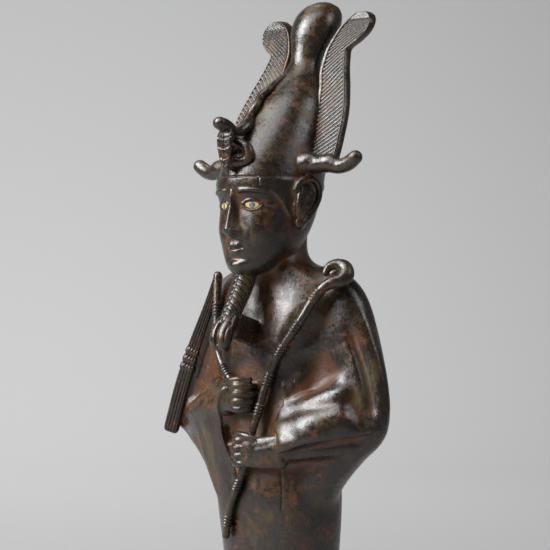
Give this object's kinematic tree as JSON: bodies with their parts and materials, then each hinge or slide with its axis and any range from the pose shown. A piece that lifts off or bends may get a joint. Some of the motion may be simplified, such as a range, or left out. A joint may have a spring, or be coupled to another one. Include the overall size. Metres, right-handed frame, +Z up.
{
  "type": "osiris figure",
  "caption": "Cast bronze statuette of a shrouded standing god with a tall feathered crown, inlaid eyes, a plaited beard, a crook and a flail, on a low base.",
  "frame": {"origin": "centre of the base's flat underside", "axes": "+Z up along the figure's height, the face looks along -Y, +X towards the figure's left"},
  "size_m": [0.1235, 0.09, 0.4136],
  "materials": {
    "bronze": "dark brown patinated cast bronze, rubbed to a soft shine on the heights, with red and green-brown flecks",
    "yellow_metal": "satin yellow metal sheet",
    "dark_stone": "polished dark grey stone or opaque glass"
  },
  "bodies": {
    "root": {"figure": "bronze", "left_eye_inlay": "yellow_metal", "right_eye_inlay": "yellow_metal", "left_iris": "dark_stone", "right_iris": "dark_stone"}
  },
  "joints": []
}
